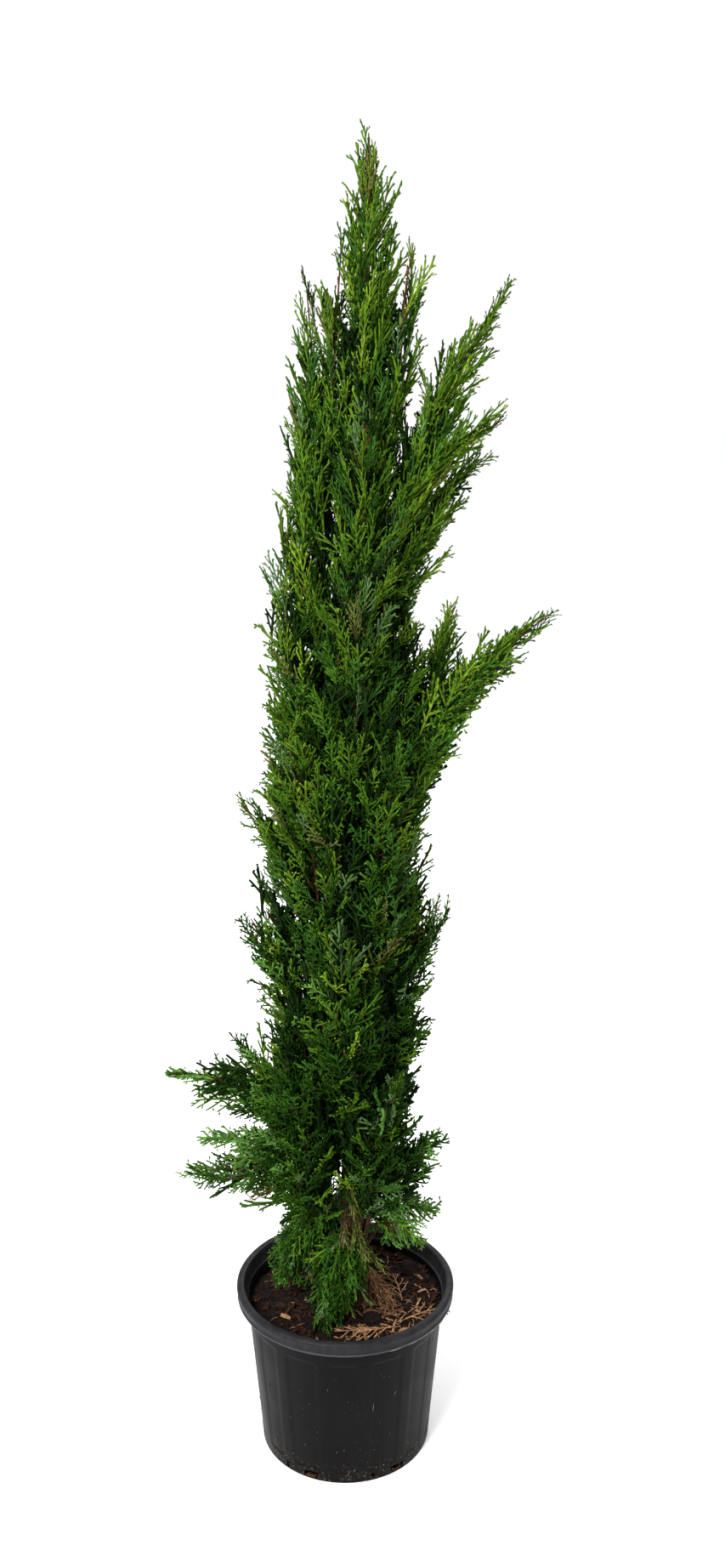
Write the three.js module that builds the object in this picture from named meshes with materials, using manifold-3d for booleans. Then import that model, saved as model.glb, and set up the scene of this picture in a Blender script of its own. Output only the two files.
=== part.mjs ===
// Potted cypress: a young columnar conifer in a round nursery pot.
// Millimetres, +Z up. The origin is the centre of the pot's flat underside, and -Y is the front.
import * as THREE from "three";
import { mergeVertices } from "three/addons/utils/BufferGeometryUtils.js";
import Module from "manifold-3d";

const wasm = await Module();
wasm.setup();

// ---------- Driving dimensions ----------

const GAP = 0.4; // air between neighbouring solids
const POT = {
  height: 240,
  rimRadius: 150,
  baseRadius: 117,
  wallTopRadius: 136, // outside of the wall just under the rim band
  wall: 3,
  rimBand: 19, // height of the turned-over rim
  rimWidth: 11, // its width, seen from above
  base: 4, // thickness of the floor
  sides: 28,
};
const DRAIN = {
  count: 6, // wide notches, and as many narrow ones
  lip: 2, // height of wall left below a notch
  height: 10,
  depth: 14,
  wide: 21,
  wideTurn: 247, // where the first wide one is, in degrees about +Z
  narrow: 5,
  narrowTurn: 289,
};
const SOIL = { top: 208, roughness: 5, floorGap: 0.4, seatRadius: 34, rings: 3 };
const TRUNK = {
  foot: SOIL.top + 0.5,
  tip: 1690,
  footRadius: 17,
  flare: 11, // extra radius of the root flare at the soil
  flareFade: 38, // height over which the flare dies away
  tipRadius: 2,
  lean: [8, 0, 26, 4], // x and y at the foot, then how far x and y drift by the tip
  sides: 10,
  rings: 12,
};
const TRUNK_ROOM = { grow: 2.6, sides: 6, rings: 5 }; // a plainer, fatter trunk, for the cuts round it
const BOUGH = { sides: 6, rings: 3, tipShare: 0.55, elbow: 9 };
const MASS = { around: 8, along: 7 };
const BODY_MASS = { around: 7, along: 6 };

// ---------- Small helpers ----------

const radians = THREE.MathUtils.degToRad;
const mix = THREE.MathUtils.lerp;

// A repeatable number from 0 to 1 for each seed.
function chance(seed) {
  const s = Math.sin(seed * 127.1 + 311.7) * 43758.5453;
  return s - Math.floor(s);
}

// Where the middle of the trunk is at height z.
function trunkAt(z) {
  const t = THREE.MathUtils.clamp((z - TRUNK.foot) / (TRUNK.tip - TRUNK.foot), 0, 1);
  const [x, y, driftX, driftY] = TRUNK.lean;
  return new THREE.Vector3(x + driftX * t * t, y + driftY * t, z);
}

// The horizontal directions out from the trunk and across it, at a turn about +Z in degrees.
function bearings(turn) {
  const a = radians(turn);
  return {
    out: new THREE.Vector3(Math.cos(a), Math.sin(a), 0),
    across: new THREE.Vector3(-Math.sin(a), Math.cos(a), 0),
  };
}

// Bends a unit solid whose +Y axis runs from 0 at the start to 1 at the end along a curve.
// radiusAt(t, angle) gives [reach across the curve's plane, reach inside it].
function bendAlong(unit, curve, across, radiusAt) {
  const position = unit.attributes.position;
  const vertex = new THREE.Vector3();
  for (let i = 0; i < position.count; i++) {
    vertex.fromBufferAttribute(position, i);
    const t = THREE.MathUtils.clamp(vertex.y, 0, 1);
    const angle = Math.atan2(vertex.z, vertex.x);
    const onAxis = Math.hypot(vertex.x, vertex.z) < 1e-6;
    const tangent = curve.getTangent(t);
    const inPlane = new THREE.Vector3().crossVectors(tangent, across).normalize();
    const side = new THREE.Vector3().crossVectors(inPlane, tangent).normalize();
    const [wide, deep] = onAxis ? [0, 0] : radiusAt(t, angle);
    vertex
      .copy(curve.getPoint(t))
      .addScaledVector(side, wide * Math.sin(angle))
      .addScaledVector(inPlane, deep * Math.cos(angle));
    position.setXYZ(i, vertex.x, vertex.y, vertex.z);
  }
  return unit;
}

// three.js geometry to a manifold-3d solid, and back.
function solid(geometry) {
  const bare = geometry.index ? geometry.toNonIndexed() : geometry.clone();
  for (const name of Object.keys(bare.attributes)) {
    if (name !== "position") bare.deleteAttribute(name);
  }
  const merged = mergeVertices(bare, 1e-3);
  const made = new wasm.Manifold(
    new wasm.Mesh({
      numProp: 3,
      vertProperties: merged.attributes.position.array,
      triVerts: new Uint32Array(merged.index.array),
    }),
  );
  return made.volume() < 0 ? turnedOut(merged) : made;
}

// The same surface with every face turned round.
function turnedOut(geometry) {
  const order = new Uint32Array(geometry.index.array);
  for (let i = 0; i < order.length; i += 3) {
    [order[i + 1], order[i + 2]] = [order[i + 2], order[i + 1]];
  }
  return new wasm.Manifold(
    new wasm.Mesh({
      numProp: 3,
      vertProperties: geometry.attributes.position.array,
      triVerts: order,
    }),
  );
}

function geometryOf(manifold) {
  const mesh = manifold.getMesh();
  const position = new THREE.BufferAttribute(new Float32Array(mesh.vertProperties), 3);
  const geometry = new THREE.BufferGeometry().setAttribute("position", position);
  geometry.setIndex(new THREE.BufferAttribute(mesh.triVerts, 1));
  geometry.computeVertexNormals();
  return geometry;
}

// The biggest of the bodies that a cut leaves.
function biggest(manifold) {
  return manifold.decompose().reduce((a, b) => (b.volume() > a.volume() ? b : a));
}

// ---------- Pot and soil ----------

function potWallRadius(z) {
  const share = z / (POT.height - POT.rimBand);
  return mix(POT.baseRadius, POT.wallTopRadius, share);
}

function potSolid() {
  const { height, rimRadius, baseRadius, wall, rimBand, rimWidth, base } = POT;
  const under = height - rimBand;
  const inside = rimRadius - rimWidth;
  const profile = [
    [0, 0],
    [baseRadius, 0],
    [potWallRadius(under), under],
    [rimRadius - 1, under],
    [rimRadius, height - 4],
    [rimRadius - 3.5, height],
    [inside + 2, height],
    [inside, height - 3],
    [potWallRadius(under) - wall, under - 4],
    [potWallRadius(base) - wall, base],
    [0, base],
  ];
  const points = profile.map(([r, z]) => new THREE.Vector2(r, z));
  let pot = solid(new THREE.LatheGeometry(points, POT.sides).rotateX(Math.PI / 2));
  for (let i = 0; i < DRAIN.count; i++) {
    for (const [width, turn] of [[DRAIN.wide, DRAIN.wideTurn], [DRAIN.narrow, DRAIN.narrowTurn]]) {
      const notch = new THREE.BoxGeometry(DRAIN.depth, width, DRAIN.height);
      notch.translate(baseRadius - DRAIN.depth / 2 + 3, 0, DRAIN.lip + DRAIN.height / 2);
      notch.rotateZ(radians(turn + (360 / DRAIN.count) * i));
      pot = pot.subtract(solid(notch));
    }
  }
  return pot;
}

// A cylinder whose wall follows the inside of the pot and whose top is a rough mound with a flat seat.
function soilSolid() {
  const top = SOIL.top;
  const inner = (z) => potWallRadius(z) - POT.wall - GAP;
  const floor = POT.base + SOIL.floorGap;
  const rings = [[0, floor], [inner(floor), floor], [inner(top), top]];
  for (let i = SOIL.rings - 1; i > 0; i--) {
    rings.push([mix(SOIL.seatRadius, inner(top), i / SOIL.rings), top]);
  }
  rings.push([SOIL.seatRadius, top], [0, top]);
  const points = rings.map(([r, z]) => new THREE.Vector2(r, z));
  const lathe = new THREE.LatheGeometry(points, POT.sides).rotateX(Math.PI / 2);
  const position = lathe.attributes.position;
  for (let i = 0; i < position.count; i++) {
    const [x, y, z] = [position.getX(i), position.getY(i), position.getZ(i)];
    const r = Math.hypot(x, y);
    if (z < top - 1 || r < SOIL.seatRadius + 1 || r > inner(top) - 1) continue;
    const clods = Math.sin(x * 0.071 + 1.3) * Math.cos(y * 0.083) + Math.sin((x - y) * 0.049);
    position.setZ(i, top + SOIL.roughness * (clods * 0.6 - 0.2));
  }
  return solid(lathe);
}

// ---------- Trunk, boughs and masses ----------

function trunkSolid({ grow, sides, rings } = { grow: 0, ...TRUNK }) {
  const heights = [];
  for (let i = 0; i <= 12; i++) heights.push(mix(TRUNK.foot, TRUNK.tip, i / 12));
  const curve = new THREE.CatmullRomCurve3(heights.map(trunkAt));
  const unit = new THREE.CylinderGeometry(1, 1, 1, sides, rings).translate(0, 0.5, 0);
  const position = unit.attributes.position;
  // Rings crowd towards the foot, where the flare is.
  for (let i = 0; i < position.count; i++) position.setY(i, position.getY(i) ** 1.8);
  const length = TRUNK.tip - TRUNK.foot;
  bendAlong(unit, curve, new THREE.Vector3(0, 1, 0), (t, angle) => {
    const flare = TRUNK.flare * Math.exp((-t * length) / TRUNK.flareFade);
    const buttress = 1 + 0.35 * Math.sin(3 * angle + 0.6);
    const radius = mix(TRUNK.footRadius, TRUNK.tipRadius, t ** 0.8) + flare * buttress + grow;
    return [radius, radius];
  });
  // The foot is cut flat and level at the soil.
  for (let i = 0; i < position.count; i++) {
    if (position.getZ(i) < TRUNK.foot + 1) position.setZ(i, TRUNK.foot - grow);
  }
  return solid(unit);
}

// A plume's line rises in one upright plane: it leaves near the trunk at height foot,
// and ends reach out from the trunk at height top. bow pushes its middle in and up.
function plumeCurve({ turn, foot, start = 30, reach, top, bow = 0, shift = 0 }) {
  const { out } = bearings(turn);
  const middle = trunkAt(foot);
  const place = (r, z) => new THREE.Vector3(middle.x + shift, middle.y, z).addScaledVector(out, r);
  const [dr, dz] = [reach - start, top - foot];
  const length = Math.hypot(dr, dz);
  const halfway = place(
    (start + reach) / 2 - (bow * Math.abs(dz)) / length,
    (foot + top) / 2 + (bow * dr) / length,
  );
  return new THREE.QuadraticBezierCurve3(place(start, foot), halfway, place(reach, top));
}

// Widest at full / (full + taper) of its length, blunt below and pointed at the tip.
function plumeGirth(t, full, taper) {
  const at = full / (full + taper);
  const most = at ** full * (1 - at) ** taper;
  return (Math.max(t, 0) ** full * Math.max(1 - t, 0) ** taper) / most;
}

function plumeSolid(plume, grow = 0) {
  const { turn, girth, flat = 0.9, full = 0.5, taper = 0.9, seed = 1 } = plume;
  const { mesh = MASS, inside = 1 } = plume;
  const curve = plumeCurve(plume);
  const unit = new THREE.SphereGeometry(1, mesh.around, mesh.along);
  const position = unit.attributes.position;
  // The sphere's own height becomes the distance along the plume, with its top as the tip.
  for (let i = 0; i < position.count; i++) position.setY(i, (position.getY(i) + 1) / 2);
  const phase = 6.28 * chance(seed);
  bendAlong(unit, curve, bearings(turn).across, (t, angle) => {
    const lumps =
      1 +
      0.1 * Math.sin(3 * angle + phase + 7 * t) +
      0.09 * Math.sin(2 * angle - phase * 2 + 19 * t) +
      0.07 * Math.cos(5 * angle + 11 * t + phase * 3);
    const radius = girth * plumeGirth(t, full, taper) * lumps;
    const inner = Math.cos(angle) > 0 ? inside : 1;
    return [radius + grow, radius * flat * inner + grow];
  });
  return solid(unit);
}

// A bough leaves the trunk at a turn and height, and ends just inside the mass it carries.
function boughSolid({ turn, leaves, reach, top, radius }, grow = 0) {
  const { out, across } = bearings(turn);
  const root = trunkAt(leaves);
  const end = trunkAt(top).addScaledVector(out, reach);
  const knee = root.clone().lerp(end, 0.5).addScaledVector(out, BOUGH.elbow);
  const curve = new THREE.QuadraticBezierCurve3(root, knee, end);
  const unit = new THREE.CylinderGeometry(1, 1, 1, BOUGH.sides, BOUGH.rings).translate(0, 0.5, 0);
  bendAlong(unit, curve, across, (t) => {
    const around = mix(radius, radius * BOUGH.tipShare, t) + grow;
    return [around, around];
  });
  return solid(unit);
}

// ---------- The plumes that stand out of the crown ----------

// Turns are degrees about +Z: 0 is to the right, 90 to the back, 180 to the left, 270 to the front.
// A plume's foot is the height where it starts, reach and top are where its tip is,
// girth is its greatest half-width, flat its thickness as a share of that, and bow bends its middle in
// towards the trunk and up. Fans are plumes that reach out level, and skirts droop over the soil.
const STANDOUTS = [
  { name: "leader_spire", turn: 0, foot: 1150, start: 4, reach: 14, top: 1722, girth: 43, taper: 0.7 },
  { name: "leader_shoulder", turn: -12, foot: 1330, start: 18, reach: 62, top: 1604, girth: 24 },
  { name: "leader_left_shoulder", turn: 186, foot: 1290, start: 22, reach: 22, top: 1612, girth: 27 },
  { name: "left_spire", turn: 180, foot: 1120, start: 66, reach: 60, top: 1565, girth: 34,
    bow: 22, taper: 1.1 },
  { name: "right_upper_plume", turn: -4, foot: 1140, start: 38, reach: 182, top: 1549, girth: 29,
    bow: 78 },
  { name: "right_upper_arm", turn: -10, foot: 1330, start: 72, reach: 174, top: 1399, girth: 16,
    bow: 14 },
  { name: "right_second_plume", turn: 12, foot: 1130, start: 48, reach: 162, top: 1358, girth: 26,
    bow: 68 },
  { name: "right_middle_plume", turn: -6, foot: 845, start: 48, reach: 243, top: 1174, girth: 33,
    bow: 96 },
  { name: "right_middle_twin", turn: 10, foot: 960, start: 62, reach: 128, top: 1180, girth: 21, bow: 8 },
  { name: "left_middle_tuft", turn: 182, foot: 850, start: 62, reach: 151, top: 934, girth: 22 },
  { name: "left_lower_tuft", turn: 178, foot: 680, start: 60, reach: 140, top: 776, girth: 30 },
  { name: "right_lower_tuft", turn: 2, foot: 700, start: 60, reach: 122, top: 800, girth: 24 },
  { name: "left_foot_tuft", turn: 183, foot: 505, start: 60, reach: 155, top: 606, girth: 28 },
  { name: "fan_left_high", turn: 180, foot: 480, start: 45, reach: 230, top: 553, girth: 25,
    flat: 1.7, bow: 26 },
  { name: "fan_left_front", turn: 201, foot: 442, start: 40, reach: 194, top: 494, girth: 23,
    flat: 1.5, bow: 8 },
  { name: "fan_left_low", turn: 178, foot: 396, start: 45, reach: 214, top: 400, girth: 23,
    flat: 1.8, bow: 12 },
  { name: "fan_right_middle", turn: -4, foot: 405, start: 40, reach: 111, top: 466, girth: 24,
    flat: 1.3 },
  { name: "fan_right_low", turn: 4, foot: 365, start: 36, reach: 109, top: 350, girth: 22,
    flat: 1.4, bow: 6 },
  { name: "fan_front_right", turn: -38, foot: 356, start: 30, reach: 104, top: 344, girth: 25,
    flat: 1.1, bow: 6 },
  { name: "skirt_left", turn: 192, foot: 386, start: 36, reach: 118, top: 240, girth: 37,
    flat: 1.2, bow: 34 },
  { name: "skirt_front", turn: 252, foot: 350, start: 32, reach: 103, top: 216, girth: 40,
    flat: 0.8, bow: 26 },
  { name: "skirt_back", turn: 96, foot: 345, start: 30, reach: 118, top: 256, girth: 40,
    flat: 0.9, bow: 24 },
  { name: "dry_fan", turn: -36, foot: 262, start: 24, reach: 84, top: 217, girth: 24,
    flat: 0.7, bow: 6 },
];

// ---------- Low boughs and the body of the crown ----------

// The boughs are bare below the crown. Each leaves the trunk at a height, and reach and top are its end.
const BOUGHS = [
  { name: "bough_right", turn: 38, leaves: 236, reach: 42, top: 372, radius: 6.5 },
  { name: "bough_back", turn: 128, leaves: 250, reach: 42, top: 376, radius: 6 },
  { name: "bough_left", turn: 222, leaves: 228, reach: 44, top: 372, radius: 6.5 },
  { name: "bough_front", turn: 312, leaves: 244, reach: 42, top: 374, radius: 6 },
  { name: "bough_left_fan", turn: 176, leaves: 262, reach: 62, top: 392, radius: 4.5 },
  { name: "bough_right_fan", turn: 2, leaves: 258, reach: 52, top: 360, radius: 4.5 },
  { name: "bough_skirt", turn: 268, leaves: 262, reach: 40, top: 326, radius: 4 },
  { name: "bough_dry", turn: 306, leaves: 232, reach: 40, top: 272, radius: 3 },
];

// The body of the crown: tiers of upright plumes packed round the trunk.
const TIERS = [
  { name: "foot", count: 4, foot: 325, top: 640, reach: 112, girth: 58, turn: 40, shift: -12 },
  { name: "low", count: 4, foot: 490, top: 850, reach: 110, girth: 64, turn: 0, shift: -9 },
  { name: "middle", count: 4, foot: 690, top: 1060, reach: 107, girth: 65, turn: 45, shift: -7 },
  { name: "high", count: 4, foot: 890, top: 1265, reach: 86, girth: 61, turn: 8, shift: -11 },
  { name: "upper", count: 3, foot: 1090, top: 1430, reach: 56, girth: 46, turn: 50, shift: -10 },
];
const TIER = { start: 38, bow: 22, turnSpread: 14, topSpread: 45, reachSpread: 12 };

function tierPlumes(tier, number) {
  const plumes = [];
  for (let i = 0; i < tier.count; i++) {
    const seed = 10 * number + i + 1;
    plumes.push({
      name: `body_${tier.name}_${i + 1}`,
      turn: tier.turn + (360 / tier.count) * i + TIER.turnSpread * (chance(seed) - 0.5),
      foot: tier.foot + 0.5 * TIER.topSpread * (chance(seed + 0.2) - 0.5),
      start: TIER.start,
      reach: tier.reach + TIER.reachSpread * (chance(seed + 0.4) - 0.5),
      top: tier.top + TIER.topSpread * (chance(seed + 0.6) - 0.5),
      girth: tier.girth,
      shift: tier.shift,
      bow: TIER.bow,
      flat: 0.85,
      inside: 0.55,
      mesh: BODY_MASS,
      seed,
    });
  }
  return plumes;
}

// ---------- Assembly ----------

const COLOURS = {
  pot: [0x232424, 0.55],
  soil: [0x33211a, 0.95],
  bark: [0x5e4636, 0.9],
  foliage: [0x2f6a26, 0.7],
  dry_foliage: [0x8a6a48, 0.85],
};

const materials = Object.fromEntries(
  Object.entries(COLOURS).map(([name, [color, roughness]]) => [
    name,
    new THREE.MeshStandardMaterial({ name, color, roughness, metalness: 0 }),
  ]),
);

const tree = new THREE.Group();
tree.name = "potted_cypress";

function add(name, manifold, finish) {
  const mesh = new THREE.Mesh(geometryOf(manifold), materials[finish]);
  mesh.name = name;
  tree.add(mesh);
}

add("pot", potSolid(), "pot");
add("soil", soilSolid(), "soil");
add("trunk", trunkSolid(), "bark");

// taken grows as solids are placed, each a little fatter than life, so that the next keeps its gap.
let taken = trunkSolid({ ...TRUNK, grow: GAP });
for (const bough of BOUGHS) {
  add(bough.name, biggest(boughSolid(bough).subtract(taken)), "bark");
  taken = taken.add(boughSolid(bough, GAP));
}

// The body is placed first, from the foot up, and the plumes that stand out are cut round it.
taken = taken.add(trunkSolid(TRUNK_ROOM));
const plumes = TIERS.flatMap((tier, number) => tierPlumes(tier, number));
plumes.push(...STANDOUTS.map((plume, i) => ({ seed: 101 + i, ...plume })));
for (const plume of plumes) {
  const mass = biggest(plumeSolid(plume).subtract(taken));
  add(plume.name, mass, plume.name.startsWith("dry") ? "dry_foliage" : "foliage");
  taken = taken.add(plumeSolid(plume, GAP));
}

export default tree;
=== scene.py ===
"""Potted columnar cypress. Its bark, twigs, sprays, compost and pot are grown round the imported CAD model.

Units are metres, +Z up, and the front is -Y. Every random draw comes from one seeded generator.
"""

from collections import namedtuple
from math import ceil, cos, hypot, pi, radians, sin, sqrt
from types import SimpleNamespace as Values

import bmesh
import bpy
import numpy as np
from mathutils import Matrix, Vector, noise
from mathutils.bvhtree import BVHTree


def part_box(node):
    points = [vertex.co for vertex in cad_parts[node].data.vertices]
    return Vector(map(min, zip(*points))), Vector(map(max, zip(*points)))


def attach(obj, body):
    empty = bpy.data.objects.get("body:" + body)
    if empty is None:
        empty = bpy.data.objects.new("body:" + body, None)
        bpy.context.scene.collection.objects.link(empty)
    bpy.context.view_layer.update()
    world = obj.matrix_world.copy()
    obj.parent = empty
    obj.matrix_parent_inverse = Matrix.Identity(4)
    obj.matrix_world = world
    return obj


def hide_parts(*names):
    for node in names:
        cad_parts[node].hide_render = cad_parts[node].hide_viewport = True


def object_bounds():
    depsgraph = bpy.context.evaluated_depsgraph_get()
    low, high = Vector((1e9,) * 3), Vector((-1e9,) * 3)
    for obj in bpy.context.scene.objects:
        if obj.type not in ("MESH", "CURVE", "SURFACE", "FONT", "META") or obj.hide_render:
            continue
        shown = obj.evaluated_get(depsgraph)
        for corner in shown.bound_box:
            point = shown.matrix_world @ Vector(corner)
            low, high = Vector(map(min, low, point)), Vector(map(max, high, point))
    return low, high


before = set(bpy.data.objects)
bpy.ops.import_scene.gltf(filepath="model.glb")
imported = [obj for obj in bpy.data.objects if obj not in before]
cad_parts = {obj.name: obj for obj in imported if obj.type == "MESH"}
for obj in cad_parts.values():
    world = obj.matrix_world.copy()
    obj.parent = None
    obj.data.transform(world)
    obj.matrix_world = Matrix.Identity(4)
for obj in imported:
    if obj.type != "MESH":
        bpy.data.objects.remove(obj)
cad_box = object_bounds()
rng = np.random.default_rng(20)
scene = bpy.context.scene

UP = Vector((0, 0, 1))
FULL_TURN = 2 * pi
BARK_NODES = sorted(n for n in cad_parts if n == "trunk" or n.startswith("bough_"))
DRY_NODES = sorted(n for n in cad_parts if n.startswith("dry_"))
LEAF_NODES = sorted(set(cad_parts) - {*BARK_NODES, *DRY_NODES, "pot", "soil"})

# ---------- Small helpers ----------


def unit(vector):
    return vector.normalized() if vector.length > 1e-9 else UP.copy()


def spread(low, high):
    return float(rng.uniform(low, high))


def any_turn():
    return spread(0, FULL_TURN)


def jitter(size):
    """A vector of three normal draws."""
    return Vector(rng.normal(0, size, 3))


def smoothstep(low, high, x):
    t = min(max((x - low) / (high - low), 0.0), 1.0)
    return t * t * (3 - 2 * t)


def polar(radius, angle, z=0.0):
    """The point at a radius and an angle from +X."""
    return Vector((radius * cos(angle), radius * sin(angle), z))


def turned(vector, axis, angle):
    return Matrix.Rotation(angle, 3, axis) @ vector


def square_to(axis, hint=UP):
    """A unit vector square to axis, as near to hint as it can be."""
    side = hint - axis * hint.dot(axis)
    if side.length < 1e-4:
        side = Vector((1, 0, 0)) - axis * axis.x
    return unit(side)


def new_object(name, data):
    made = bpy.data.objects.new(name, data)
    scene.collection.objects.link(made)
    return made


def mesh_piece(name, verts, faces, material, slot, replaced=(), smooth=True):
    """A mesh object from points and their triangles or quads, under the root body. The CAD parts it replaces
    are hidden.
    """
    verts = np.asarray(verts, np.float32)
    faces = np.asarray(faces, np.int32)
    sides = faces.shape[1]
    mesh = bpy.data.meshes.new(name)
    mesh.vertices.add(len(verts))
    mesh.vertices.foreach_set("co", verts.ravel())
    mesh.loops.add(faces.size)
    mesh.loops.foreach_set("vertex_index", faces.ravel())
    mesh.polygons.add(len(faces))
    mesh.polygons.foreach_set("loop_start", np.arange(0, faces.size, sides, dtype=np.int32))
    mesh.polygons.foreach_set("use_smooth", np.full(len(faces), smooth))
    mesh.update(calc_edges=True)
    mesh.materials.append(material)
    piece = new_object(name, mesh)
    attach(piece, "root")
    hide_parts(*replaced)
    return piece


class Heap:
    """Gathers small meshes into one array of vertices and one of faces."""

    def __init__(self):
        self.verts, self.faces, self.count = [], [], 0

    def add(self, points, faces):
        self.verts.append(np.array(points, float))
        self.faces.append(np.array(faces) + self.count)
        self.count += len(points)

    def size(self):
        return sum(len(f) for f in self.faces)

    def joined(self):
        return np.concatenate(self.verts), np.concatenate(self.faces)


def wall_faces(rings, around, first=0):
    """Triangles between rings of points that lie one after another from the index first."""
    faces = []
    for k in range(rings - 1):
        for j in range(around):
            a, b = first + k * around + j, first + k * around + (j + 1) % around
            faces += [(a, b, b + around), (a, b + around, a + around)]
    return faces


def cone_faces(point, first, around, under=False):
    """Triangles from a point over the ring that starts at the index first, or under it."""
    sides = [(first + j, first + (j + 1) % around) for j in range(around)]
    return [(point, b, a) if under else (point, a, b) for a, b in sides]


def tube(path, radii, sides, relief=None):
    """A closed tube of triangles along a path. relief(k, angle) adds to the radius."""
    path = [Vector(p) for p in path]
    rows = []
    side = None
    for k, point in enumerate(path):
        ahead = path[min(k + 1, len(path) - 1)] - path[max(k - 1, 0)]
        tangent = unit(ahead)
        side = square_to(tangent, side if side else Vector((1, 0.3, 0.2)))
        other = tangent.cross(side)
        for j in range(sides):
            angle = FULL_TURN * j / sides
            reach = radii[k] + (relief(k, angle) if relief else 0.0)
            rows.append(point + (side * cos(angle) + other * sin(angle)) * reach)
    rows.append(path[0] + unit(path[0] - path[1]) * radii[0] * 0.6)
    rows.append(path[-1] + unit(path[-1] - path[-2]) * radii[-1] * 1.5)
    last = (len(path) - 1) * sides
    caps = cone_faces(len(rows) - 2, 0, sides, under=True) + cone_faces(len(rows) - 1, last, sides)
    return rows, wall_faces(len(path), sides) + caps


def curve_through(points, steps):
    """Points along a smooth curve through the given ones, Catmull-Rom fashion."""
    points = [Vector(p) for p in points]
    ends = [points[0] * 2 - points[1], *points, points[-1] * 2 - points[-2]]
    out = []
    for i in range(len(points) - 1):
        a, b, c, d = ends[i : i + 4]
        for s in range(steps):
            t = s / steps
            start = 2 * b + (c - a) * t + (2 * a - 5 * b + 4 * c - d) * t * t
            out.append(0.5 * (start + (3 * b - a - 3 * c + d) * t * t * t))
    return [*out, points[-1]]


def along(path, share):
    """The point and the direction at a share of a path's length, its points being evenly spaced."""
    at = min(max(share, 0.0), 1.0) * (len(path) - 1)
    k = min(int(at), len(path) - 2)
    return path[k].lerp(path[k + 1], at - k), unit(path[k + 1] - path[k])


def nearest_share(path, point):
    """Where along a path its point nearest to the given one is."""
    return np.argmin([(p - point).length for p in path]) / (len(path) - 1)


# ---------- Materials ----------

EVEN = (1, 1, 1)  # no stretch along any axis


class Look:
    """A material with a Principled shader. Its methods add nodes and give back their output."""

    def __init__(self, name, roughness, specular):
        self.material = bpy.data.materials.new(name)
        self.material.use_nodes = True
        self.nodes = self.material.node_tree.nodes
        self.links = self.material.node_tree.links
        self.shader = self.nodes["Principled BSDF"]
        self.shader.inputs["Roughness"].default_value = roughness
        self.shader.inputs["Specular IOR Level"].default_value = specular

    def join(self, output, socket="Base Color"):
        self.links.new(output, self.shader.inputs[socket])

    def node(self, kind, **values):
        """Adds a node with these values on its inputs."""
        node = self.nodes.new(kind)
        for name, value in values.items():
            node.inputs[name.replace("_", " ")].default_value = value
        return node

    def noise(self, scale, detail, stretch=EVEN, rough=0.55):
        """Noise in object space, stretched along the axes."""
        place = self.node("ShaderNodeTexCoord")
        mapping = self.node("ShaderNodeMapping", Scale=stretch)
        texture = self.node("ShaderNodeTexNoise", Scale=scale, Detail=detail, Roughness=rough)
        self.links.new(place.outputs["Object"], mapping.inputs["Vector"])
        self.links.new(mapping.outputs["Vector"], texture.inputs["Vector"])
        return texture.outputs["Fac"]

    def ramp(self, source, *stops):
        """A colour ramp of (position, colour) stops. A colour that is one number is a grey."""
        ramp = self.node("ShaderNodeValToRGB")
        elements = ramp.color_ramp.elements
        while len(elements) < len(stops):
            elements.new(0.5)
        for element, (position, colour) in zip(elements, stops):
            element.position = position
            element.color = (*(colour if isinstance(colour, tuple) else (colour,) * 3), 1)
        self.links.new(source, ramp.inputs["Fac"])
        return ramp.outputs["Color"]

    def mix(self, share, first, second):
        """Mixes two colours or outputs by an output."""
        mix = self.node("ShaderNodeMix")
        mix.data_type = "RGBA"
        for value, socket in ((share, mix.inputs[0]), (first, mix.inputs[6]), (second, mix.inputs[7])):
            if isinstance(value, tuple):
                socket.default_value = (*value, 1)
            else:
                self.links.new(value, socket)
        return mix.outputs[2]

    def band(self, rise, fall):
        """White between two heights. It fades in over the (low, high) of rise, and out over fall's."""
        place = self.node("ShaderNodeTexCoord")
        split = self.node("ShaderNodeSeparateXYZ")
        self.links.new(place.outputs["Object"], split.inputs["Vector"])
        product = self.node("ShaderNodeMath")
        product.operation = "MULTIPLY"
        for k, (low, high) in enumerate((rise, fall)):
            fade = self.node("ShaderNodeMapRange", From_Min=low, From_Max=high, To_Min=k, To_Max=1 - k)
            self.links.new(split.outputs["Z"], fade.inputs["Value"])
            self.links.new(fade.outputs["Result"], product.inputs[k])
        return product.outputs["Value"]

    def bump(self, height, strength, distance):
        bump = self.node("ShaderNodeBump", Strength=strength, Distance=distance)
        self.links.new(height, bump.inputs["Height"])
        self.join(bump.outputs["Normal"], "Normal")


def leaf_material(name, colour, roughness=0.6):
    """Scale leaves: one plain base colour, mottled finely, with a faint beaded surface."""
    look = Look(name, roughness, 0.03)
    dark = tuple(c * 0.5 for c in colour)
    light = tuple(min(c * 1.6, 1.0) for c in colour)
    look.join(look.ramp(look.noise(170.0, 3.0), (0.34, dark), (0.66, light)))
    look.bump(look.noise(900.0, 1.0), 0.35, 0.0006)
    return look.material


def bark_material(name, dark, light, stretch=(1, 1, 0.16), worn_share=0.5):
    """Strands from dark to light, with brown patches that cover them by worn_share."""
    look = Look(name, 0.85, 0.08)
    strands = look.noise(330.0, 6.0, stretch, 0.65)
    patches = look.ramp(look.noise(45.0, 3.0), (0.5, 0.0), (0.75, worn_share))
    look.join(look.mix(patches, look.ramp(strands, (0.34, dark), (0.68, light)), (0.062, 0.037, 0.023)))
    look.bump(strands, 0.8, 0.0012)
    return look.material


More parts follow.
